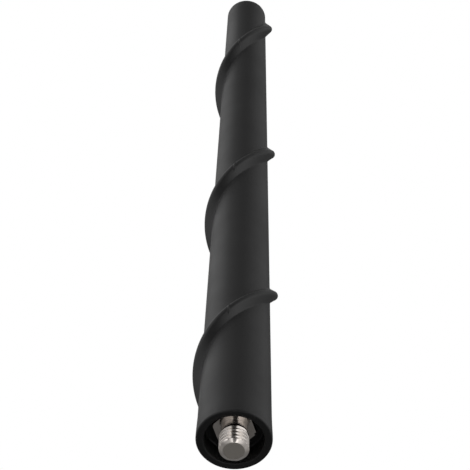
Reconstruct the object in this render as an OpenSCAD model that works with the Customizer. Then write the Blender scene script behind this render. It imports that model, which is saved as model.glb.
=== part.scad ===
// Short helical roof antenna mast for a car: a tapered rubber cover with a
// spiral fin, moulded over a wound glass-fibre rod and a plated threaded insert.
// Origin on the stud's axis in the plane of the cover's rim, +Z towards the tip.
// The -Y side faces a viewer who looks along +Y.

/* [Cover] */
// Length of the cover from its rim to its tip
cover_l = 157; // [135:1:200]
// Diameter of the cover at its rim
base_d = 14.8; // [14:0.1:18]
// Diameter that the straight taper reaches at the tip
tip_d = 8.7; // [8:0.1:11]
// Radius of the tip's rounded edge
tip_edge_r = 1.7; // [0.8:0.1:2]
// Radius of the tip's shallow crown
tip_crown_r = 12; // [8:0.5:30]
// Radius of the rim's rounded outer edge
rim_edge_r = 0.3; // [0.1:0.05:0.6]
// Thickness of the skirt round the base recess
skirt_t = 1.45; // [1.1:0.05:1.8]
// Depth of the recess from the rim to the rubber floor
recess_depth = 4.15; // [3:0.05:6]
// Rubber between the rod's end and the tip
tip_rubber = 9; // [5:0.5:20]

/* [Spiral fin] */
// Rise of the fin in one turn
fin_pitch = 51.6; // [40:0.1:70]
// Direction that the fin would have at the rim, from +X about +Z, in degrees
fin_phase = 34; // [0:1:359]
// Height of the fin over the cover on its lower turns
fin_h = 1.7; // [1.2:0.05:2.2]
// Height of the fin over the cover near the tip
fin_h_tip = 1.6; // [1.2:0.05:2.2]
// Radius of the fin's rounded crest
fin_crest_r = 0.75; // [0.4:0.05:0.9]
// Lean of each flank from the fin's middle plane, in degrees
fin_flank = 34; // [20:1:38]
// Radius of the fillet at the fin's root
fin_root_r = 0.3; // [0.2:0.05:0.8]
// Height over the rim at which the fin begins
fin_start_z = 6.5; // [5:0.5:20]
// Distance below the tip at which the fin ends
fin_end_gap = 2.2; // [2:0.1:20]
// Turn over which the fin rises from the cover at each end, in degrees
fin_runout = 45; // [30:5:90]

/* [Threaded insert] */
// Diameter of the stud's thread over its crests
stud_d = 6; // [5:0.5:6]
// Length of the full thread
stud_thread_l = 3.9; // [2.5:0.1:8]
// Length of the chamfer at the stud's end
stud_chamfer = 0.5; // [0.3:0.1:1.2]
// Diameter of the stud's flat end
stud_end_d = 4.2; // [3:0.1:4.4]
// Depth of the plain neck below the thread's crests
neck_cut = 0.35; // [0.2:0.05:0.8]
// Length of the plain neck between thread and hexagon
neck_l = 2.1; // [1:0.1:4]
// Width of the hexagon across its flats
hex_af = 7.8; // [7:0.1:8.4]
// Length of the hexagon
hex_l = 5; // [3:0.1:8]
// Amount that each corner of the hexagon is cut back at its face
hex_corner_cut = 0.25; // [0.1:0.05:0.4]
// Distance that the hexagon's face stands out of the recess floor
hex_proud = 0.85; // [0.3:0.05:1.5]
// Direction of one of the hexagon's corners, from +X about +Z, in degrees
hex_turn = 12; // [0:1:60]
// Diameter of the barrel that the rubber grips
barrel_d = 6.6; // [6.2:0.1:6.9]
// Length of the barrel
barrel_l = 11; // [9:0.5:16]
// Number of grip grooves round the barrel
groove_count = 3; // [1:1:4]
// Width of each grip groove
groove_w = 1.2; // [0.8:0.1:1.4]
// Depth of each grip groove
groove_depth = 0.45; // [0.3:0.05:0.5]
// Length of the thin collar that takes the winding's end
collar_l = 3; // [2:0.5:5]
// Wall of the thin collar round the rod
collar_t = 0.5; // [0.4:0.05:0.6]
// Depth of the rod's socket from the collar's end
socket_depth = 10; // [7:0.5:12]

/* [Winding] */
// Diameter of the glass-fibre rod
rod_d = 4; // [3.6:0.1:4.2]
// Chamfer at both ends of the rod
rod_chamfer = 0.3; // [0.1:0.05:0.5]
// Diameter of the enamelled wire
wire_d = 0.5; // [0.35:0.05:0.5]
// Number of widely spaced turns at the base
open_turns = 16; // [8:1:20]
// Number of closely spaced turns at the top
close_turns = 26; // [10:1:30]
// Rise of each closely spaced turn
close_pitch = 1.6; // [1:0.1:2]
// Bare rod beyond the last turn
rod_bare = 3; // [2:0.5:6]
// Length of the solder fillet that joins wire and collar
solder_l = 1.4; // [0.8:0.1:2]
// Wall of the shrunk tube over the winding
tube_t = 0.3; // [0.2:0.05:0.4]
// Length over which the tube narrows on to the rod's bare end
tube_neck_l = 1.2; // [0.6:0.1:2]
// Clearance between pieces that are bonded to each other
bond_gap = 0.08; // [0.07:0.01:0.1]

/* [Hidden] */
$fn = 96;

rubber = [0.15, 0.15, 0.16];
nickel = [0.76, 0.74, 0.70];
glass_fibre = [0.86, 0.84, 0.70];
copper = [0.72, 0.38, 0.20];
tin = [0.70, 0.71, 0.74];
tube_black = [0.10, 0.10, 0.13];

// Steps of the swept shapes, in degrees of turn
fin_step = 6;
wire_step = 360 / 14;
wire_sides = 6;
arc_steps = 6;

// How far the fin's foot reaches into the cover, and how far its ends dip under the surface
fin_bury = 0.55;
fin_dip = 0.1;
// The fillet's facet passes the surface by this depth
fillet_dip = 0.15;

base_r = base_d / 2;
tip_r = tip_d / 2;
recess_r = base_r - skirt_t;
rod_r = rod_d / 2;
neck_r = stud_d / 2 - neck_cut;
barrel_r = barrel_d / 2;

// Heights of the insert, from the stud's end upwards
hex_z = recess_depth - hex_proud;
thread_top_z = hex_z - neck_l;
stud_chamfer_z = thread_top_z - stud_thread_l;
stud_end_z = stud_chamfer_z - stud_chamfer;
barrel_z = hex_z + hex_l;
collar_z = barrel_z + barrel_l;
insert_top_z = collar_z + collar_l;
socket_z = insert_top_z - socket_depth;

// Radii of what is stacked round the rod
socket_r = rod_r + bond_gap;
collar_r = socket_r + collar_t;
wind_r = rod_r + bond_gap + wire_d / 2;
tube_in_r = max(collar_r, wind_r + wire_d / 2) + bond_gap;
tube_out_r = tube_in_r + tube_t;

// Heights of what is stacked along the rod
rod_bottom_z = socket_z + bond_gap;
rod_top_z = cover_l - tip_rubber;
solder_z = insert_top_z + bond_gap;
wind_z = solder_z + solder_l + bond_gap + wire_d / 2;
wind_top_z = rod_top_z - rod_bare;
open_pitch = (wind_top_z - wind_z - close_turns * close_pitch) / open_turns;
tube_z = collar_z + bond_gap;
tube_neck_z = wind_top_z + wire_d / 2 + bond_gap;
tube_top_z = tube_neck_z + tube_neck_l;

// Radius of the plain tapered cover at a height
function cover_r(z) = base_r + (tip_r - base_r) * z / cover_l;

// Points of an arc, in steps of equal angle
function arc(centre, r, from, to, steps) = [
    for (i = [0:steps])
        let (a = from + (to - from) * i / steps)
        centre + r * [cos(a), sin(a)]
];

// Triangles between two rings of n points that start at a and b
function ring_faces(a, b, n) = [
    for (i = [0:n - 1], half = [0, 1])
        let (j = (i + 1) % n)
        half == 0 ? [a + i, b + i, b + j] : [a + i, b + j, a + j]
];

// Faces of a swept tube: its rings, then a fan over each end
function sweep_faces(rings, n) = concat(
    [for (k = [0:rings - 2]) each ring_faces(k * n, (k + 1) * n, n)],
    [for (i = [1:n - 2]) [0, i, i + 1]],
    [for (i = [1:n - 2]) let (o = (rings - 1) * n) [o, o + i + 1, o + i]]
);

// Outline of the cover in radius and height, without its fin
function cover_outline() =
    let (
        edge_x = tip_r - tip_edge_r,
        crown_z = cover_l - tip_crown_r,
        edge_z = crown_z + sqrt(pow(tip_crown_r - tip_edge_r, 2) - edge_x * edge_x),
        join = atan2(edge_z - crown_z, edge_x)
    )
    concat(
        [[0, 0]],
        arc([base_r - rim_edge_r, rim_edge_r], rim_edge_r, -90, 0, arc_steps),
        arc([edge_x, edge_z], tip_edge_r, 0, join, arc_steps),
        [for (i = [1:arc_steps])
            let (a = join + (90 - join) * i / arc_steps)
            [i == arc_steps ? 0 : tip_crown_r * cos(a), crown_z + tip_crown_r * sin(a)]]
    );

// Section of the fin at full height: distance along the cover, height over it.
// It runs from one buried corner over the crest to the other.
function fin_section(h) =
    let (
        tangent = [fin_crest_r * cos(fin_flank), h - fin_crest_r * (1 - sin(fin_flank))],
        root_w = tangent.x + tangent.y * tan(fin_flank),
        fillet = fin_root_r * tan((90 - fin_flank) / 2),
        fillet_top = [root_w - fillet * sin(fin_flank), fillet * cos(fin_flank)],
        fillet_end = root_w + fillet,
        foot = fillet_end
            + fillet_dip * (fillet_end - fillet_top.x) / fillet_top.y,
        side = [[foot, -fin_bury], [foot, -fillet_dip], fillet_top]
    )
    concat(
        side,
        arc([0, h - fin_crest_r], fin_crest_r, fin_flank, 180 - fin_flank, 4),
        [for (i = [2:-1:0]) [-side[i].x, side[i].y]]
    );

// Share of its full height that the fin has at a turn, eased at both ends
function ease(t) = let (s = min(max(t, 0), 1)) s * s * (3 - 2 * s);
function fin_share(a) = min(
    ease((a - fin_from) / fin_runout), ease((fin_to - a) / fin_runout));

fin_from = fin_phase + 360 * fin_start_z / fin_pitch;
fin_to = fin_phase + 360 * (cover_l - fin_end_gap) / fin_pitch;
fin_rings = ceil((fin_to - fin_from) / fin_step) + 1;

// One ring of the fin: the section laid square across the helix on the tapered cover
function fin_ring(a) =
    let (
        z = fin_pitch * (a - fin_phase) / 360,
        r = cover_r(z),
        climb = atan2(fin_pitch, 2 * PI * r),
        share = fin_share(a),
        full_h = fin_h + (fin_h_tip - fin_h) * z / cover_l
    )
    [for (p = fin_section(full_h))
        let (
            h = p.y > 0 ? p.y * share - fin_dip * (1 - share) : p.y,
            w = p.x * (0.5 + 0.5 * share),
            pz = z + w * cos(climb),
            pa = a - w * sin(climb) / r * 180 / PI,
            pr = cover_r(pz) + h
        )
        [pr * cos(pa), pr * sin(pa), pz]];

module fin() {
    rings = [
        for (k = [0:fin_rings - 1])
            fin_ring(fin_from + (fin_to - fin_from) * k / (fin_rings - 1))
    ];
    polyhedron(points = [for (r = rings) each r],
        faces = sweep_faces(fin_rings, len(rings[0])), convexity = 10);
}

// Hexagonal bar from its face upwards, grown by g all round
module hex_bar(g) {
    corner_r = hex_af / sqrt(3) + g / cos(30);
    translate([0, 0, hex_z]) rotate(hex_turn)
        linear_extrude(hex_l + g) circle(corner_r, $fn = 6);
}

// Cone that takes the hexagon's corners off at its face
module corner_cone() {
    face_r = hex_af / sqrt(3) - hex_corner_cut;
    translate([0, 0, hex_z])
        cylinder(r1 = face_r, r2 = face_r + (hex_l + 1) / tan(30), h = hex_l + 1);
}

// Outline of the grooved barrel and collar in radius and height, grown by g
function barrel_outline(g) =
    let (pitch = barrel_l / (groove_count + 1), root_z = hex_z + hex_l / 2)
    concat(
        [[0, root_z], [barrel_r + g, root_z]],
        [for (i = [1:groove_count], p = [
                [0, -groove_w / 2 + g], [-groove_depth, -groove_w / 2 + g],
                [-groove_depth, groove_w / 2 - g], [0, groove_w / 2 - g]])
            [barrel_r + g + p.x, barrel_z + pitch * i + p.y]],
        [[barrel_r + g, collar_z + g], [0, collar_z + g]]
    );

// Outline of what surrounds the rod: the shrunk tube, grown by g, then the bare rod
function core_outline(g) = [
    [0, collar_z], [tube_out_r + g, collar_z],
    [tube_out_r + g, tube_neck_z],
    [socket_r + tube_t + g, tube_top_z + g],
    [rod_r + g, tube_top_z + g],
    [rod_r + g, rod_top_z + g], [0, rod_top_z + g]
];

module mast_cover() color(rubber) difference() {
    union() {
        rotate_extrude() polygon(cover_outline());
        fin();
    }
    translate([0, 0, -1]) cylinder(r = recess_r, h = recess_depth + 1);
    hex_bar(bond_gap);
    rotate_extrude() polygon(barrel_outline(bond_gap));
    rotate_extrude() polygon(core_outline(bond_gap));
}

module threaded_insert() color(nickel) difference() {
    union() {
        intersection() {
            hex_bar(0);
            corner_cone();
        }
        rotate_extrude() polygon([
            [0, stud_end_z], [stud_end_d / 2, stud_end_z],
            [stud_d / 2, stud_chamfer_z],
            [stud_d / 2, thread_top_z - neck_cut / 2],
            [neck_r, thread_top_z],
            [neck_r, hex_z + hex_l / 2], [0, hex_z + hex_l / 2]
        ]);
        rotate_extrude() polygon(barrel_outline(0));
        translate([0, 0, collar_z - 1]) cylinder(r = collar_r, h = collar_l + 1);
    }
    translate([0, 0, socket_z]) cylinder(r = socket_r, h = socket_depth + 1);
}

module core_rod() color(glass_fibre) rotate_extrude() polygon([
    [0, rod_bottom_z], [rod_r - rod_chamfer, rod_bottom_z],
    [rod_r, rod_bottom_z + rod_chamfer],
    [rod_r, rod_top_z - rod_chamfer],
    [rod_r - rod_chamfer, rod_top_z], [0, rod_top_z]
]);

// Height of the winding after a number of turns: open turns first, then close ones
function wind_height(t) = wind_z
    + open_pitch * min(t, open_turns) + close_pitch * max(t - open_turns, 0);

module radiator_coil() color(copper) {
    turns = open_turns + close_turns;
    count = turns * 360 / wire_step;
    points = [
        for (k = [0:count], i = [0:wire_sides - 1])
            let (
                a = k * wire_step,
                z = wind_height(a / 360),
                climb = atan2(wind_height((a + 1) / 360) - wind_height((a - 1) / 360),
                    2 * wind_r * PI / 180),
                b = 360 * i / wire_sides,
                out = wire_d / 2 * cos(b),
                up = wire_d / 2 * sin(b),
                r = wind_r + out
            )
            [r * cos(a) + up * sin(climb) * sin(a),
             r * sin(a) - up * sin(climb) * cos(a),
             z + up * cos(climb)]
    ];
    polyhedron(points = points, faces = sweep_faces(count + 1, wire_sides),
        convexity = 10);
}

module solder_joint() color(tin) rotate_extrude() polygon([
    [socket_r, solder_z], [collar_r, solder_z],
    [collar_r, solder_z + solder_l / 3],
    [socket_r + wire_d / 2, solder_z + solder_l], [socket_r, solder_z + solder_l]
]);

module shrink_tube() color(tube_black) rotate_extrude() polygon([
    [tube_in_r, tube_z], [tube_out_r, tube_z],
    [tube_out_r, tube_neck_z], [socket_r + tube_t, tube_top_z],
    [socket_r, tube_top_z], [tube_in_r, tube_neck_z]
]);

mast_cover();
threaded_insert();
core_rod();
radiator_coil();
solder_joint();
shrink_tube();
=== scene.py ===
import math
import bmesh
import bpy
from mathutils import Matrix, Vector


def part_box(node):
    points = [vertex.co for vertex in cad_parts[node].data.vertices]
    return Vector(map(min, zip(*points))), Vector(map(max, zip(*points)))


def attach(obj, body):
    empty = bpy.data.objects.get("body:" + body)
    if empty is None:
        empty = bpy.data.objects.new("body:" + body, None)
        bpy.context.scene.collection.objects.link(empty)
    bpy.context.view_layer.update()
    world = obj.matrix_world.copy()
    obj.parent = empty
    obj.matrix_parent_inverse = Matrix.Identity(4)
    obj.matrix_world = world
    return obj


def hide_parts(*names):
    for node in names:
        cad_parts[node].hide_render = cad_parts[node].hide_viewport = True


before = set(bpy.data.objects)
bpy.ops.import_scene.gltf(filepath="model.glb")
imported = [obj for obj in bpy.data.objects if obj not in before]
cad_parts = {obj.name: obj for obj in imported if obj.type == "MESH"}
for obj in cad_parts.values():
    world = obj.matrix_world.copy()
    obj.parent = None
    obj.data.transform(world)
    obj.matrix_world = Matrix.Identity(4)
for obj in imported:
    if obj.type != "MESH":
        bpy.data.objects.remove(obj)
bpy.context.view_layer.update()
print("frame loaded:", ", ".join(sorted(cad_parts)))

mm = 0.001
up = Vector((0, 0, 1))
mergeGap = 0.002 * mm  # vertices closer than this become one
cutGap = 0.0001 * mm  # a vertex this close to a cut lies on it


# Helpers for working in edit mode

def deselectAll():
    bpy.ops.object.select_all(action="DESELECT")


def activate(piece):
    deselectAll()
    piece.select_set(True)
    bpy.context.view_layer.objects.active = piece


def editMode():
    bpy.ops.object.mode_set(mode="EDIT")


def objectMode():
    bpy.ops.object.mode_set(mode="OBJECT")


def drawOutline(name, points):
    # one vertex, extruded from point to point: (distance from the axis, height)
    deselectAll()
    bpy.ops.mesh.primitive_plane_add(size=mm, location=(points[0][0], 0, points[0][1]))
    piece = bpy.context.object
    piece.name = name
    bpy.ops.object.transform_apply(location=True, rotation=True, scale=True)
    editMode()
    bpy.ops.mesh.select_all(action="SELECT")
    bpy.ops.mesh.merge(type="CENTER")
    for last, point in zip(points, points[1:]):
        step = (point[0] - last[0], 0, point[1] - last[1])
        bpy.ops.mesh.extrude_region_move(TRANSFORM_OT_translate={"value": step})
    objectMode()
    return piece


def sweepHelix(piece, pitch, turns, stepsPerTurn):
    # the outline is one pitch high, so each turn joins the last
    activate(piece)
    screw = piece.modifiers.new("helix", "SCREW")
    screw.axis = "Z"
    screw.angle = math.tau
    screw.screw_offset = pitch
    screw.iterations = turns
    screw.steps = stepsPerTurn
    screw.render_steps = stepsPerTurn
    bpy.ops.object.modifier_apply(modifier=screw.name)
    editMode()
    bpy.ops.mesh.select_all(action="SELECT")
    bpy.ops.mesh.remove_doubles(threshold=mergeGap)
    objectMode()


def cutAt(height, keepAbove):
    # leaves the cut ring selected
    bpy.ops.mesh.select_all(action="SELECT")
    bpy.ops.mesh.bisect(plane_co=(0, 0, height), plane_no=(0, 0, 1), threshold=cutGap,
                        clear_inner=keepAbove, clear_outer=not keepAbove)


def extrudeInPlace():
    bpy.ops.mesh.extrude_region_move(TRANSFORM_OT_translate={"value": (0, 0, 0)})


def extrudeRings(points):
    # the selected ring is at the first point, and goes on to the others
    for last, point in zip(points, points[1:]):
        step = (0, 0, point[1] - last[1])
        bpy.ops.mesh.extrude_region_move(TRANSFORM_OT_translate={"value": step})
        share = point[0] / last[0]
        bpy.ops.transform.resize(value=(share, share, 1), center_override=(0, 0, 0))


def shapeRing(radiusAt):
    # moves the selected ring out or in, to a radius that depends on the direction
    mesh = bmesh.from_edit_mesh(bpy.context.object.data)
    for vert in mesh.verts:
        if vert.select:
            flat = Vector((vert.co.x, vert.co.y))
            share = radiusAt(math.atan2(flat.y, flat.x)) / flat.length
            vert.co.x *= share
            vert.co.y *= share
    bmesh.update_edit_mesh(bpy.context.object.data)


def setRingHeight(height):
    mesh = bmesh.from_edit_mesh(bpy.context.object.data)
    for vert in mesh.verts:
        if vert.select:
            vert.co.z = height
    bmesh.update_edit_mesh(bpy.context.object.data)


def closePole(height):
    # fans the selected ring to one point on the axis
    extrudeInPlace()
    bpy.ops.mesh.merge(type="CENTER")
    mesh = bmesh.from_edit_mesh(bpy.context.object.data)
    for vert in mesh.verts:
        if vert.select:
            vert.co = (0, 0, height)
    bmesh.update_edit_mesh(bpy.context.object.data)


def arcPoints(centre, radius, start, end, steps):
    # from one direction to another, in degrees
    turns = [math.radians(start + (end - start) * i / steps) for i in range(steps + 1)]
    return [(centre[0] + radius * math.cos(a), centre[1] + radius * math.sin(a)) for a in turns]


def finishMesh(piece, smoothAngle):
    activate(piece)
    editMode()
    bpy.ops.mesh.select_all(action="SELECT")
    bpy.ops.mesh.remove_doubles(threshold=mergeGap)
    bpy.ops.mesh.normals_make_consistent(inside=False)
    objectMode()
    bpy.ops.object.shade_smooth_by_angle(angle=smoothAngle)
    deselectAll()


def hexagonRadius(acrossFlats, turn):
    # distance from the axis to the hexagon's outline in a direction
    def radiusAt(angle):
        fromFlat = (angle - turn) % (math.pi / 3) - math.pi / 6
        return acrossFlats / 2 / math.cos(fromFlat)
    return radiusAt


def ease(share):
    share = min(max(share, 0), 1)
    return share * share * (3 - 2 * share)


# Threaded insert: stud, plain neck, hexagon, barrel with grip grooves, collar and the rod's socket

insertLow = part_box("threaded_insert")[0]
insert = {
    "endZ": insertLow.z,
    "endRadius": 2.1 * mm,
    "endRings": (0.6, 0.2),  # on the end face, as shares of its radius
    "chamferLength": 0.5 * mm,
    "crestRadius": 2.98 * mm,
    "threadPitch": 1.0 * mm,
    "threadDepth": 0.60 * mm,
    "threadTurns": 8,
    "turnsBelowEnd": 1.5,
    "threadTopZ": 1.9 * mm,
    "runOut": 1.2 * mm,
    "fadeStart": 0.36 * mm,
    "fadeLength": 0.5 * mm,
    "neckRadius": 2.65 * mm,
    "neckFillet": 0.03 * mm,
    "neckFilletSteps": 3,
    "hexZ": 3.3 * mm,
    "hexLength": 5 * mm,
    "hexAcrossFlats": 7.8 * mm,
    "hexTurn": math.radians(12),
    "hexCornerCut": 0.25 * mm,
    "hexConeAngle": math.radians(30),
    "hexConeRises": [rise * mm for rise in (0, 0.03, 0.06, 0.1, 0.15, 0.25, 0.5, 0.85)],
    "hexFaceRing": 0.85,  # on the hexagon's face, as a share of its edge
    "barrelRadius": 3.3 * mm,
    "barrelLength": 11 * mm,
    "grooveCount": 3,
    "grooveWidth": 1.2 * mm,
    "grooveDepth": 0.45 * mm,
    "collarRadius": 2.58 * mm,
    "collarLength": 3 * mm,
    "socketRadius": 2.08 * mm,
    "socketDepth": 10 * mm,
    "stepsPerTurn": 108,
    "edgeBreak": 0.06 * mm,
    "edgeStart": 0.3,  # where the chamfer turns into the end's broken edge, as a share of edgeBreak
    "smoothAngle": math.radians(35),
}


def threadOutline():
    # one pitch of an ISO thread from root to root, as depth below the crest over height
    pitch, depth = insert["threadPitch"], insert["threadDepth"]
    rise = [(-0.5, 1), (-0.455, 0.985), (-0.42, 0.93), (-0.37, 0.79), (-0.22, 0.43),
            (-0.105, 0.12), (-0.07, 0.03), (-0.03, 0)]
    fall = [(-share, drop) for share, drop in reversed(rise)]
    return [(insert["crestRadius"] - depth * drop, pitch * share) for share, drop in rise + fall]


def barrelOutline(grow):
    # from the hexagon's back to the collar, in radius and height
    hexTop = insert["hexZ"] + insert["hexLength"]
    outer = insert["barrelRadius"] + grow
    inner = outer - insert["grooveDepth"]
    half = insert["grooveWidth"] / 2 - grow
    pitch = insert["barrelLength"] / (insert["grooveCount"] + 1)
    points = [(outer, hexTop + grow)]
    for i in range(1, insert["grooveCount"] + 1):
        middle = hexTop + pitch * i
        points += [(outer, middle - half), (inner, middle - half),
                   (inner, middle + half), (outer, middle + half)]
    return points + [(outer, hexTop + insert["barrelLength"] + grow)]


def fadeThread(piece, slope):
    # a rolled thread fades out at both ends, into the chamfer and into the neck
    end, endZ, topZ = insert["endRadius"], insert["endZ"], insert["threadTopZ"]
    crest, neck = insert["crestRadius"], insert["neckRadius"]
    fadeZ = endZ + insert["fadeStart"]
    least = end / 2  # for what lies below the end and is cut off
    for vert in piece.data.vertices:
        x, y, z = vert.co
        radius = math.hypot(x, y)
        wanted = crest - (crest - radius) * ease((z - fadeZ) / insert["fadeLength"])
        wanted = neck + (wanted - neck) * ease((topZ - z) / insert["runOut"])
        chamfer = end + slope * (z - endZ)
        share = max(min(wanted, chamfer), least) / radius
        vert.co.x *= share
        vert.co.y *= share


def buildInsert():
    pitch, end, endZ, topZ = (insert[key] for key in ("threadPitch", "endRadius", "endZ", "threadTopZ"))
    firstZ = endZ - insert["turnsBelowEnd"] * pitch
    outline = [(radius, height + firstZ) for radius, height in threadOutline()]
    piece = drawOutline("threaded_insert_finish", outline)
    sweepHelix(piece, pitch, insert["threadTurns"], insert["stepsPerTurn"])
    slope = (insert["crestRadius"] - end) / insert["chamferLength"]
    fadeThread(piece, slope)

    editMode()
    edge = insert["edgeBreak"]
    cutAt(endZ + edge, True)
    rings = [(end + slope * edge, endZ + edge), (end, endZ + edge * insert["edgeStart"]),
             (end - edge, endZ), (end - 2 * edge, endZ)]
    extrudeRings(rings + [(end * share, endZ) for share in insert["endRings"]])
    closePole(endZ)

    cutAt(topZ, False)
    hexZ, neck, fillet = insert["hexZ"], insert["neckRadius"], insert["neckFillet"]
    rings = [(neck, topZ), (neck, topZ + edge), (neck, hexZ - 2 * fillet)]
    rings += arcPoints((neck + fillet, hexZ - fillet), fillet, 180, 90, insert["neckFilletSteps"])
    faceEdge = insert["hexAcrossFlats"] / 2 - edge
    extrudeRings(rings + [(neck + 2 * fillet, hexZ), (faceEdge * insert["hexFaceRing"], hexZ),
                          (faceEdge, hexZ)])

    # hexagon: each ring follows the flats, and the cone at its face takes the corners off
    outlineAt = hexagonRadius(insert["hexAcrossFlats"], insert["hexTurn"])
    faceRadius = insert["hexAcrossFlats"] / math.sqrt(3) - insert["hexCornerCut"]
    for rise in insert["hexConeRises"]:
        extrudeInPlace()
        cone = faceRadius + rise / math.tan(insert["hexConeAngle"])
        breakIn = max(0, edge - rise)
        shapeRing(lambda angle: min(outlineAt(angle) - breakIn, cone))
        setRingHeight(hexZ + rise)
    extrudeInPlace()
    setRingHeight(hexZ + insert["hexLength"])
    extrudeInPlace()
    shapeRing(lambda angle: insert["barrelRadius"])

    collarZ = hexZ + insert["hexLength"] + insert["barrelLength"]
    collarTop = collarZ + insert["collarLength"]
    socketZ = collarTop - insert["socketDepth"]
    collar, socket = insert["collarRadius"], insert["socketRadius"]
    extrudeRings(barrelOutline(0) + [(collar, collarZ), (collar, collarTop - edge),
                                     (collar - edge, collarTop), (socket, collarTop),
                                     (socket, socketZ), (socket / 2, socketZ)])
    closePole(socketZ)
    objectMode()
    finishMesh(piece, insert["smoothAngle"])
    return piece


# Mast cover: tapered rubber body with its spiral fin, rounded tip, skirt and the cavity inside

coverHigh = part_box("mast_cover")[1]
cover = {
    "length": coverHigh.z,
    "rimRadius": 7.4 * mm,
    "flare": 0.12 * mm,
    "flareTopZ": 6.0 * mm,
    "flareHeight": 4.5 * mm,
    "tipRadius": 4.35 * mm,
    "tipEdge": 1.7 * mm,
    "tipEdgeSteps": 10,
    "tipCrown": 12 * mm,
    "tipCrownSteps": 5,
    "tipCrownEnd": 88,  # degrees, just short of the pole
    "rimEdge": 0.4 * mm,
    "rimEdgeSteps": 6,
    "innerEdge": 0.25 * mm,
    "innerEdgeSteps": 5,
    "recessRadius": 5.95 * mm,
    "recessDepth": 4.15 * mm,
    "floorFillet": 0.4 * mm,
    "floorFilletSteps": 6,
    "floorRing": 4.9 * mm,
    "stepsPerTurn": 216,
    "bondGap": 0.08 * mm,
    "smoothAngle": math.radians(40),
}
fin = {
    "pitch": 51.6 * mm,
    "phase": math.radians(34),
    "turns": 6,
    "turnsBelowRim": 2,
    "height": 1.7 * mm,
    "heightAtTip": 1.6 * mm,
    "crestRadius": 0.75 * mm,
    "crestSteps": 7,
    "flank": 34,  # lean of its sides in degrees
    "flankSteps": 3,
    "rootRadius": 0.3 * mm,
    "rootSteps": 4,
    "startZ": 6.5 * mm,
    "endGap": 2.2 * mm,
    "runOut": math.radians(45),
    "footAtEnd": 0.5,  # width of its foot where it has run out, as a share
    "plainRows": 9,  # rows of faces on each side between two turns
}
core = {
    "tubeRadius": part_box("shrink_tube")[1].x,
    "tubeTop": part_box("shrink_tube")[1].z,
    "tubeNeck": 1.2 * mm,
    "tubeWall": 0.3 * mm,
    "rodRadius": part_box("core_rod")[1].x,
    "rodTop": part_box("core_rod")[1].z,
}


def coverRadius(z):
    # a straight taper, and the skirt round the recess flares by a hair
    flare = cover["flare"] * ease((cover["flareTopZ"] - z) / cover["flareHeight"])
    return cover["rimRadius"] + (cover["tipRadius"] - cover["rimRadius"]) * z / cover["length"] + flare


def climbAt(z):
    # the helix's slope on the cover at a height
    return math.atan2(fin["pitch"], math.tau * coverRadius(z))


def finOutline():
    # half of the fin's section square to the helix: (distance from its middle, height over the cover)
    crest, height, root, steps = fin["crestRadius"], fin["height"], fin["rootRadius"], fin["flankSteps"]
    lean = math.radians(fin["flank"])
    top = arcPoints((0, height - crest), crest, 90, fin["flank"], fin["crestSteps"])
    rootWidth = top[-1][0] + top[-1][1] * math.tan(lean)
    filletLength = root * math.tan((math.pi / 2 - lean) / 2)
    bottom = arcPoints((rootWidth + filletLength, root), root, 180 + fin["flank"], 270, fin["rootSteps"])
    side = [tuple((a * (steps - i) + b * i) / steps for a, b in zip(top[-1], bottom[0]))
            for i in range(1, steps)]
    return top + side + bottom


def finShare(turn):
    # how much of its height the fin has, eased in and out at its ends
    first = fin["phase"] + math.tau * fin["startZ"] / fin["pitch"]
    last = fin["phase"] + math.tau * (cover["length"] - fin["endGap"]) / fin["pitch"]
    return min(ease((turn - first) / fin["runOut"]), ease((last - turn) / fin["runOut"]))


def sweepFin():
    # a straight tube with the fin on it, swept as one helix
    pitch, rim, rows = fin["pitch"], cover["rimRadius"], fin["plainRows"]
    half = finOutline()
    stretch = 1 / math.cos(climbAt(0))
    edge = half[-1][0] * stretch
    plain = [edge + (pitch / 2 - edge) * i / rows for i in range(1, rows + 1)]
    side = [(width * stretch, height) for width, height in half] + [(width, 0) for width in plain]
    outline = [(rim + height, -width) for width, height in reversed(side[1:])]
    outline += [(rim + height, width) for width, height in side]
    startZ = pitch * (-fin["turnsBelowRim"] - fin["phase"] / math.tau)
    piece = drawOutline("mast_cover_finish", [(radius, z + startZ) for radius, z in outline])
    sweepHelix(piece, pitch, fin["turns"], cover["stepsPerTurn"])

    # taper it, keep the fin's section true and run the fin out at its ends
    foot, footAtEnd = half[-1][0], fin["footAtEnd"]
    for vert in piece.data.vertices:
        x, y, z = vert.co
        radius, angle = math.hypot(x, y), math.atan2(y, x)
        turns = z / pitch - (angle - fin["phase"]) / math.tau
        offset = (turns - round(turns)) * pitch
        middle = z - offset
        share = finShare(fin["phase"] + math.tau * middle / pitch)
        climb = climbAt(min(max(middle, 0), cover["length"]))
        local = (footAtEnd + (1 - footAtEnd) * share) / math.cos(climb)
        if abs(offset) <= edge:
            moved = offset / stretch * local
        else:
            blend = (abs(offset) - edge) / (pitch / 2 - edge)
            moved = math.copysign(foot * local + (pitch / 2 - foot * local) * blend, offset)
        newZ = middle + moved
        scale = 1 + (fin["heightAtTip"] / fin["height"] - 1) * min(max(newZ / cover["length"], 0), 1)
        newRadius = coverRadius(newZ) + (radius - rim) * share * scale
        vert.co = (newRadius * math.cos(angle), newRadius * math.sin(angle), newZ)
    return piece


def closeTip():
    tipEdge, crown = cover["tipEdge"], cover["tipCrown"]
    edgeX = cover["tipRadius"] - tipEdge
    crownZ = cover["length"] - crown
    edgeZ = crownZ + math.sqrt((crown - tipEdge) ** 2 - edgeX ** 2)
    join = math.degrees(math.atan2(edgeZ - crownZ, edgeX))
    cutAt(edgeZ, False)
    rings = arcPoints((edgeX, edgeZ), tipEdge, 0, join, cover["tipEdgeSteps"])[1:]
    rings += arcPoints((0, crownZ), crown, join, cover["tipCrownEnd"], cover["tipCrownSteps"])[1:]
    extrudeRings([(coverRadius(edgeZ), edgeZ)] + rings)
    closePole(cover["length"])


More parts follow.
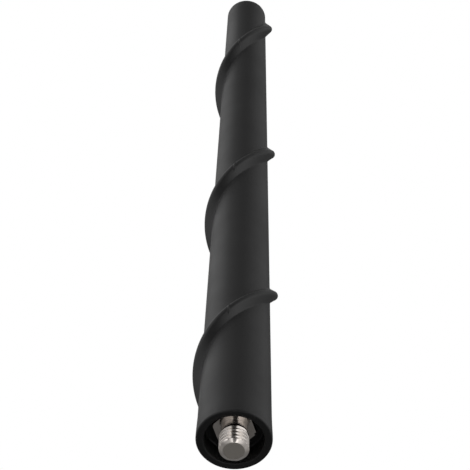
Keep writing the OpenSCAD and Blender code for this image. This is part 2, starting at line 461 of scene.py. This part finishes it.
def openRecess():
    rim, rimEdge = cover["rimRadius"] + cover["flare"], cover["rimEdge"]
    recess, innerEdge = cover["recessRadius"], cover["innerEdge"]
    depth, fillet = cover["recessDepth"], cover["floorFillet"]
    cutAt(rimEdge, True)
    rings = [(coverRadius(rimEdge), rimEdge)]
    rings += arcPoints((rim - rimEdge, rimEdge), rimEdge, 0, -90, cover["rimEdgeSteps"])[1:]
    rings += arcPoints((recess + innerEdge, innerEdge), innerEdge, 270, 180, cover["innerEdgeSteps"])
    rings += arcPoints((recess - fillet, depth - fillet), fillet, 0, 90, cover["floorFilletSteps"])
    extrudeRings(rings + [(cover["floorRing"], depth)])


def hollowCore():
    # the pocket round the hexagon, then round the barrel, the shrunk tube and the rod
    gap = cover["bondGap"]
    barrel = barrelOutline(gap)
    barrelStart, barrelTop = barrel[0], barrel[-1][1]
    extrudeInPlace()
    shapeRing(hexagonRadius(insert["hexAcrossFlats"] + 2 * gap, insert["hexTurn"]))
    extrudeInPlace()
    setRingHeight(barrelStart[1])
    extrudeInPlace()
    shapeRing(lambda angle: barrelStart[0])
    tube, rod = core["tubeRadius"] + gap, core["rodRadius"] + gap
    tubeTop, rodTop = core["tubeTop"] + gap, core["rodTop"] + gap
    extrudeRings(barrel + [(tube, barrelTop), (tube, tubeTop - core["tubeNeck"] - gap),
                           (rod + core["tubeWall"], tubeTop), (rod, tubeTop), (rod, rodTop),
                           (rod / 2, rodTop)])
    closePole(rodTop)


def buildCover():
    piece = sweepFin()
    activate(piece)
    editMode()
    closeTip()
    openRecess()
    hollowCore()
    objectMode()
    finishMesh(piece, cover["smoothAngle"])
    return piece


insertPiece = buildInsert()
print("threaded insert modelled:", len(insertPiece.data.polygons), "faces")
coverPiece = buildCover()
print("mast cover modelled:", len(coverPiece.data.polygons), "faces")


# Finishes

noiseLow, noiseHigh = 0.3, 0.7  # the noise mostly stays between these


def newMaterial(name):
    # an empty node material with its Principled shader
    material = bpy.data.materials.new(name)
    material.use_nodes = True
    tree = material.node_tree
    shader = tree.nodes["Principled BSDF"]
    return material, tree, shader


def addNode(tree, kind, settings=None, inputs=None):
    node = tree.nodes.new(kind)
    for key, value in (settings or {}).items():
        setattr(node, key, value)
    for key, value in (inputs or {}).items():
        if isinstance(value, bpy.types.NodeSocket):
            tree.links.new(value, node.inputs[key])
        else:
            node.inputs[key].default_value = value
    return node


def mathNode(tree, operation, a, b=0.0):
    return addNode(tree, "ShaderNodeMath", {"operation": operation}, {0: a, 1: b}).outputs[0]


def vectorNode(tree, operation, inputs, result):
    return addNode(tree, "ShaderNodeVectorMath", {"operation": operation}, inputs).outputs[result]


def mapRange(tree, value, fromLow, fromHigh, low=0.0, high=1.0, kind="LINEAR"):
    node = addNode(tree, "ShaderNodeMapRange", {"interpolation_type": kind},
                   {"Value": value, "From Min": fromLow, "From Max": fromHigh, "To Min": low,
                    "To Max": high})
    return node.outputs["Result"]


def mixColour(tree, share, first, second):
    # each colour is a socket or three numbers
    first, second = (side if isinstance(side, bpy.types.NodeSocket) else (*side, 1)
                     for side in (first, second))
    node = addNode(tree, "ShaderNodeMix", {"data_type": "RGBA"}, {0: share, 6: first, 7: second})
    return node.outputs[2]


def objectPlace(tree):
    return addNode(tree, "ShaderNodeTexCoord").outputs["Object"]


def axisDistance(tree, place):
    flat = vectorNode(tree, "MULTIPLY", {0: place, 1: (1, 1, 0)}, "Vector")
    return vectorNode(tree, "LENGTH", {0: flat}, "Value")


def heightOf(tree, place):
    return addNode(tree, "ShaderNodeSeparateXYZ", None, {0: place}).outputs["Z"]


def makeGrainGroup():
    # moulded or blasted grain: two sizes of noise, as a height and as a mask that wanders slowly
    group = bpy.data.node_groups.new("surfaceGrain", "ShaderNodeTree")
    for name, kind in (("Place", "NodeSocketVector"), ("Grain", "NodeSocketFloat"),
                       ("Wander", "NodeSocketFloat")):
        group.interface.new_socket(name=name, in_out="INPUT", socket_type=kind)
    for name in ("Height", "Mask"):
        group.interface.new_socket(name=name, in_out="OUTPUT", socket_type="NodeSocketFloat")
    given = group.nodes.new("NodeGroupInput")
    made = group.nodes.new("NodeGroupOutput")
    fine = addNode(group, "ShaderNodeTexNoise", {"noise_dimensions": "3D"},
                   {"Vector": given.outputs["Place"], "Scale": given.outputs["Grain"], "Detail": 3.0,
                    "Roughness": 0.6})
    broad = addNode(group, "ShaderNodeTexNoise", {"noise_dimensions": "3D"},
                    {"Vector": given.outputs["Place"], "Scale": given.outputs["Wander"], "Detail": 2.0})
    group.links.new(fine.outputs["Fac"], made.inputs["Height"])
    group.links.new(broad.outputs["Fac"], made.inputs["Mask"])
    return group


grainGroup = makeGrainGroup()


def grain(tree, place, look):
    node = addNode(tree, "ShaderNodeGroup", {"node_tree": grainGroup},
                   {"Place": place, "Grain": 1 / look["grainSize"], "Wander": 1 / look["wander"]})
    return node.outputs["Height"], node.outputs["Mask"]


def tint(tree, mask, look):
    return mixColour(tree, mapRange(tree, mask, noiseLow, noiseHigh), look["dark"], look["light"])


def polish(tree, mask, look):
    return mapRange(tree, mask, noiseLow, noiseHigh, look["roughHigh"], look["roughLow"])


def bump(tree, height, distance, strength=1.0, normal=None):
    node = addNode(tree, "ShaderNodeBump", None,
                   {"Height": height, "Distance": distance, "Strength": strength})
    if normal is not None:
        tree.links.new(normal, node.inputs["Normal"])
    return node.outputs["Normal"]


rubberLook = {
    "dark": (0.0085, 0.0085, 0.0088),
    "light": (0.0108, 0.0108, 0.0111),
    "roughLow": 0.45,
    "roughHigh": 0.52,
    "grainSize": 0.13 * mm,
    "grainDepth": 0.0025 * mm,
    "wander": 9 * mm,
    "gloss": 0.28,
    "partingAngle": math.radians(-103),
    "partingWidth": 0.24 * mm,
    "partingHeight": 0.15 * mm,
    # painted shade: the darker colour along the parting line stands in for shade, not for the rubber's
    # own colour
    "partingPaintedShade": (0.004, 0.004, 0.004),
    "partingFrom": 0.4,  # it starts and is full at these shares of the fin's height
    "partingFull": 0.8,
}


def partingMark(tree, place):
    # the mould's parting line, in one plane through the axis, on the fin only: a low ridge where
    # the flash was trimmed off, and a painted shade that darkens the colour along it
    look = rubberLook
    angle, rim, height = look["partingAngle"], cover["rimRadius"], fin["height"]
    square = (math.sin(angle), -math.cos(angle), 0)
    away = mathNode(tree, "ABSOLUTE", vectorNode(tree, "DOT_PRODUCT", {0: place, 1: square}, "Value"))
    ridge = mapRange(tree, away, 0.0, look["partingWidth"], 1.0, 0.0, kind="SMOOTHSTEP")
    taper = (rim - cover["tipRadius"]) / cover["length"]
    narrowing = mathNode(tree, "MULTIPLY", heightOf(tree, place), taper)
    proud = mathNode(tree, "ADD", axisDistance(tree, place), narrowing)
    onFin = mapRange(tree, proud, rim + look["partingFrom"] * height, rim + look["partingFull"] * height,
                     kind="SMOOTHSTEP")
    return mathNode(tree, "MULTIPLY", ridge, onFin)


def rubberMaterial():
    look = rubberLook
    material, tree, shader = newMaterial("moulded rubber")
    place = objectPlace(tree)
    height, mask = grain(tree, place, look)
    partingRidgeAndShade = partingMark(tree, place)
    # painted shade along the parting line is mixed into the rubber's colour; the ridge itself is the
    # bump below
    colour = mixColour(tree, partingRidgeAndShade, tint(tree, mask, look), look["partingPaintedShade"])
    tree.links.new(colour, shader.inputs["Base Color"])
    tree.links.new(polish(tree, mask, look), shader.inputs["Roughness"])
    line = bump(tree, partingRidgeAndShade, look["partingHeight"])
    tree.links.new(bump(tree, height, look["grainDepth"], normal=line), shader.inputs["Normal"])
    shader.inputs["Specular IOR Level"].default_value = look["gloss"]
    return material


nickelLook = {
    "dark": (0.52, 0.48, 0.44),
    "light": (0.66, 0.615, 0.585),
    "roughLow": 0.09,
    "roughHigh": 0.15,
    "cutFace": (0.52, 0.483, 0.437),
    "cutRough": 0.4,
    "cutFull": 0.01 * mm,  # heights over the stud's end between which the duller face ends
    "cutGone": 0.05 * mm,
    "grainSize": 0.3 * mm,
    "grainDepth": 0.002 * mm,
    "wander": 2.2 * mm,
    "ringPitch": 0.14 * mm,
    "ringDepth": 0.0007 * mm,
    "ringStrength": 0.5,
}


def nickelMaterial():
    look = nickelLook
    material, tree, shader = newMaterial("nickel plate")
    place = objectPlace(tree)
    height, mask = grain(tree, place, look)
    along = heightOf(tree, place)
    # the stud's end was parted off and only thinly plated, so it is duller and browner
    cutFull, cutGone = insert["endZ"] + look["cutFull"], insert["endZ"] + look["cutGone"]
    cut = mapRange(tree, along, cutFull, cutGone, 1.0, 0.0, kind="SMOOTHSTEP")
    colour = mixColour(tree, cut, tint(tree, mask, look), look["cutFace"])
    tree.links.new(colour, shader.inputs["Base Color"])
    rough = addNode(tree, "ShaderNodeMix", {"data_type": "FLOAT"},
                    {0: cut, 2: polish(tree, mask, look), 3: look["cutRough"]})
    tree.links.new(rough.outputs[0], shader.inputs["Roughness"])
    # turning marks run round the axis
    outAndUp = mathNode(tree, "ADD", axisDistance(tree, place), along)
    rings = mathNode(tree, "SINE", mathNode(tree, "MULTIPLY", outAndUp, math.tau / look["ringPitch"]))
    turned = bump(tree, rings, look["ringDepth"], look["ringStrength"])
    tree.links.new(bump(tree, height, look["grainDepth"], normal=turned), shader.inputs["Normal"])
    shader.inputs["Metallic"].default_value = 1.0
    return material


def innerMaterial(name, look, metallic=0.0):
    # colour and roughness that wander, and a fine bump, for the pieces inside
    material, tree, shader = newMaterial(name)
    place = objectPlace(tree)
    if "stretch" in look:
        place = vectorNode(tree, "MULTIPLY", {0: place, 1: look["stretch"]}, "Vector")
    height, mask = grain(tree, place, look)
    tree.links.new(tint(tree, mask, look), shader.inputs["Base Color"])
    tree.links.new(polish(tree, mask, look), shader.inputs["Roughness"])
    tree.links.new(bump(tree, height, look["grainDepth"]), shader.inputs["Normal"])
    shader.inputs["Metallic"].default_value = metallic
    return material


glassFibreLook = {
    "dark": (0.55, 0.50, 0.33), "light": (0.72, 0.68, 0.50), "roughLow": 0.35, "roughHigh": 0.5,
    "grainSize": 0.12 * mm, "grainDepth": 0.01 * mm, "wander": 0.6 * mm, "stretch": (1, 1, 0.03),
}
copperLook = {
    "dark": (0.50, 0.17, 0.05), "light": (0.68, 0.29, 0.12), "roughLow": 0.18, "roughHigh": 0.3,
    "grainSize": 0.1 * mm, "grainDepth": 0.002 * mm, "wander": 3 * mm,
}
solderLook = {
    "dark": (0.48, 0.49, 0.50), "light": (0.68, 0.69, 0.70), "roughLow": 0.25, "roughHigh": 0.4,
    "grainSize": 0.25 * mm, "grainDepth": 0.012 * mm, "wander": 0.8 * mm,
}
tubeLook = {
    "dark": (0.016, 0.016, 0.018), "light": (0.024, 0.024, 0.027), "roughLow": 0.38, "roughHigh": 0.5,
    "grainSize": 0.3 * mm, "grainDepth": 0.008 * mm, "wander": 4 * mm,
}


def dress(piece, material):
    piece.data.materials.clear()
    piece.data.materials.append(material)


dress(coverPiece, rubberMaterial())
dress(insertPiece, nickelMaterial())
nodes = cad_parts
dress(nodes["core_rod"], innerMaterial("glass fibre", glassFibreLook))
dress(nodes["radiator_coil"], innerMaterial("enamelled copper", copperLook, 1.0))
dress(nodes["solder_joint"], innerMaterial("tin solder", solderLook, 1.0))
dress(nodes["shrink_tube"], innerMaterial("shrunk tube", tubeLook))

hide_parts("mast_cover")
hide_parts("threaded_insert")
for piece, slotName in ((coverPiece, "cover_rubber"), (insertPiece, "nickel_plate")):
    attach(piece, "root")
print("finishes set")


# Stage: pale floor, soft lamps, and a dome of grey levels that only reflections see

floorLook = {
    "dark": (0.8471, 0.8471, 0.83725),
    "light": (0.86, 0.86, 0.85),
    "rough": 0.7,
    "grainSize": 2 * mm,
    "grainDepth": 0.02 * mm,
    "wander": 400 * mm,
    "gap": 0.1 * mm,
    "size": 2.4,
}
sky = {
    "level": 0.75,
    "levelBelow": 0.06,
    "horizon": 0.15,  # half the height over which the one turns into the other
}
dome = {
    "distance": 1.2,
    "segments": 72,
    "rings": 36,
    "rises": (-82, -47, 0, 47, 82),
    # turn from the front towards +X in degrees: level at each of the rises
    "levels": {
        -180: (0.13, 0.135, 0.21, 0.15, 0.2),
        -150: (0.13, 0.135, 0.21, 0.15, 0.2),
        -110: (0.15, 0.25, 0.84, 0.15, 0.2),
        -60: (0.5, 0.6, 2.0, 0.35, 0.2),
        -22: (1.6, 0.7, 2.0, 0.8, 0.2),
        -10: (0.24, 0.02, 0.07, 0.4, 0.2),
        24: (0.24, 0.02, 0.07, 0.4, 0.2),
        38: (2.6, 1.1, 1.6, 0.7, 0.2),
        60: (1.2, 1.1, 2.8, 0.1, 0.2),
        110: (0.15, 0.44, 0.9, 0.15, 0.2),
        150: (0.13, 0.135, 0.21, 0.15, 0.2),
        180: (0.13, 0.135, 0.21, 0.15, 0.2),
    },
}
lamps = {
    "left softbox": {"azimuth": -86, "elevation": 46, "distance": 0.9, "size": 0.8, "power": 1.6},
    "right softbox": {"azimuth": 85, "elevation": 48, "distance": 0.9, "size": 0.8, "power": 0.7},
    "rear softbox": {"azimuth": -160, "elevation": 65, "distance": 1.0, "size": 0.9, "power": 0.7},
}


def buildFloor():
    look = floorLook
    deselectAll()
    bpy.ops.mesh.primitive_plane_add(size=look["size"], location=(0, 0, insertLow.z - look["gap"]))
    floor = bpy.context.object
    floor.name = "floor"
    material, tree, shader = newMaterial("pale floor")
    height, mask = grain(tree, objectPlace(tree), look)
    tree.links.new(tint(tree, mask, look), shader.inputs["Base Color"])
    tree.links.new(bump(tree, height, look["grainDepth"]), shader.inputs["Normal"])
    shader.inputs["Roughness"].default_value = look["rough"]
    # the floor shows only from above, and lets through the light that falls on the mast from below
    path = addNode(tree, "ShaderNodeLightPath")
    side = addNode(tree, "ShaderNodeNewGeometry")
    soft = mathNode(tree, "MAXIMUM", path.outputs["Is Diffuse Ray"], path.outputs["Is Glossy Ray"])
    soft = mathNode(tree, "MAXIMUM", path.outputs["Is Shadow Ray"], soft)
    clear = mathNode(tree, "MAXIMUM", side.outputs["Backfacing"], soft)
    through = addNode(tree, "ShaderNodeBsdfTransparent")
    mix = addNode(tree, "ShaderNodeMixShader", None,
                  {0: clear, 1: shader.outputs["BSDF"], 2: through.outputs["BSDF"]})
    tree.links.new(mix.outputs["Shader"], tree.nodes["Material Output"].inputs["Surface"])
    dress(floor, material)


def between(keys, value):
    # the two keys round a value, and how far it is from the first to the second
    value = min(max(value, keys[0]), keys[-1])
    for low, high in zip(keys, keys[1:]):
        if value <= high:
            return low, high, ease((value - low) / (high - low))


def domeLevel(place):
    turn = math.degrees(math.atan2(place.x, -place.y))
    rise = math.degrees(math.asin(min(max(place.z / place.length, -1), 1)))
    rises = dome["rises"]
    low, high, raised = between(rises, rise)
    below, above = rises.index(low), rises.index(high)
    first, last, turned = between(sorted(dome["levels"]), turn)
    columns = [dome["levels"][key] for key in (first, last)]
    levels = [column[below] * (1 - raised) + column[above] * raised for column in columns]
    return levels[0] * (1 - turned) + levels[1] * turned


def buildDome():
    deselectAll()
    bpy.ops.mesh.primitive_uv_sphere_add(segments=dome["segments"], ring_count=dome["rings"],
                                         radius=dome["distance"])
    shell = bpy.context.object
    shell.name = "reflection_dome"
    glow = shell.data.attributes.new("glow", "FLOAT", "POINT")
    for vert in shell.data.vertices:
        glow.data[vert.index].value = domeLevel(vert.co)
    material, tree = newMaterial("reflection dome")[:2]
    level = addNode(tree, "ShaderNodeAttribute", {"attribute_name": "glow"}).outputs["Fac"]
    light = addNode(tree, "ShaderNodeEmission", None, {"Color": (1, 1, 1, 1), "Strength": level})
    tree.links.new(light.outputs["Emission"], tree.nodes["Material Output"].inputs["Surface"])
    dress(shell, material)
    shell.visible_camera = False
    shell.visible_diffuse = False
    shell.visible_transmission = False
    shell.visible_volume_scatter = False
    shell.visible_shadow = False


def buildLamps():
    target = Vector((0, 0, cover["length"] / 2))
    for name, lamp in lamps.items():
        turn, rise = math.radians(lamp["azimuth"]), math.radians(lamp["elevation"])
        flat = Vector((math.sin(turn), -math.cos(turn), 0))
        away = flat * math.cos(rise) + up * math.sin(rise)
        bpy.ops.object.light_add(type="AREA", location=target + away * lamp["distance"])
        light = bpy.context.object
        light.name = name.replace(" ", "_")
        light.data.shape = "DISK"
        light.data.size = lamp["size"]
        light.data.energy = lamp["power"]
        light.visible_camera = False
        light.rotation_euler = away.to_track_quat("Z", "Y").to_euler()


def buildWorld():
    world = bpy.data.worlds.new("studio")
    bpy.context.scene.world = world
    world.use_nodes = True
    tree = world.node_tree
    path = addNode(tree, "ShaderNodeLightPath")
    seen = mathNode(tree, "MAXIMUM", path.outputs["Is Glossy Ray"], path.outputs["Is Transmission Ray"])
    seen = mathNode(tree, "MAXIMUM", path.outputs["Is Camera Ray"], seen)
    # soft light comes from above, and less of it from under the horizon
    height = heightOf(tree, addNode(tree, "ShaderNodeTexCoord").outputs["Generated"])
    soft = mapRange(tree, height, -sky["horizon"], sky["horizon"], sky["levelBelow"], sky["level"])
    background = tree.nodes["Background"]
    background.inputs["Color"].default_value = (1, 1, 1, 1)
    tree.links.new(mapRange(tree, seen, 0.0, 1.0, soft, 1.0), background.inputs["Strength"])


# Camera: it looks up at the base end, 50 degrees below the horizontal

shot = {
    "distance": 588.0 * mm,
    "elevation": math.radians(-50.2),
    "roll": math.radians(1.684),
    "rimPixel": (234.08, 440.4),
    "focalPixels": 3030.2,
    "imageSide": 470,
    "sensorWidth": 36,
}


def buildCamera():
    rise, side = shot["elevation"], shot["imageSide"]
    back = Vector((0, -math.cos(rise), math.sin(rise)))
    right = Vector((1, 0, 0))
    down = -right.cross(-back)
    straight = Matrix((right, down, -back))
    # turn the view so that the rim's centre falls on its pixel
    aim = Vector([(p - side / 2) / shot["focalPixels"] for p in shot["rimPixel"]] + [1])
    turned = up.rotation_difference(aim).to_matrix() @ Matrix.Rotation(shot["roll"], 3, "Z") @ straight
    bpy.ops.object.camera_add()
    camera = bpy.context.object
    axes = Matrix((turned[0], -turned[1], -turned[2])).transposed()
    camera.matrix_world = Matrix.Translation(back * shot["distance"]) @ axes.to_4x4()
    camera.data.sensor_width = shot["sensorWidth"]
    camera.data.lens = shot["focalPixels"] / side * shot["sensorWidth"]
    bpy.context.scene.camera = camera


buildFloor()
buildDome()
buildLamps()
buildWorld()
buildCamera()
bpy.context.scene.view_settings.view_transform = "Standard"
print("stage, lamps and camera set")
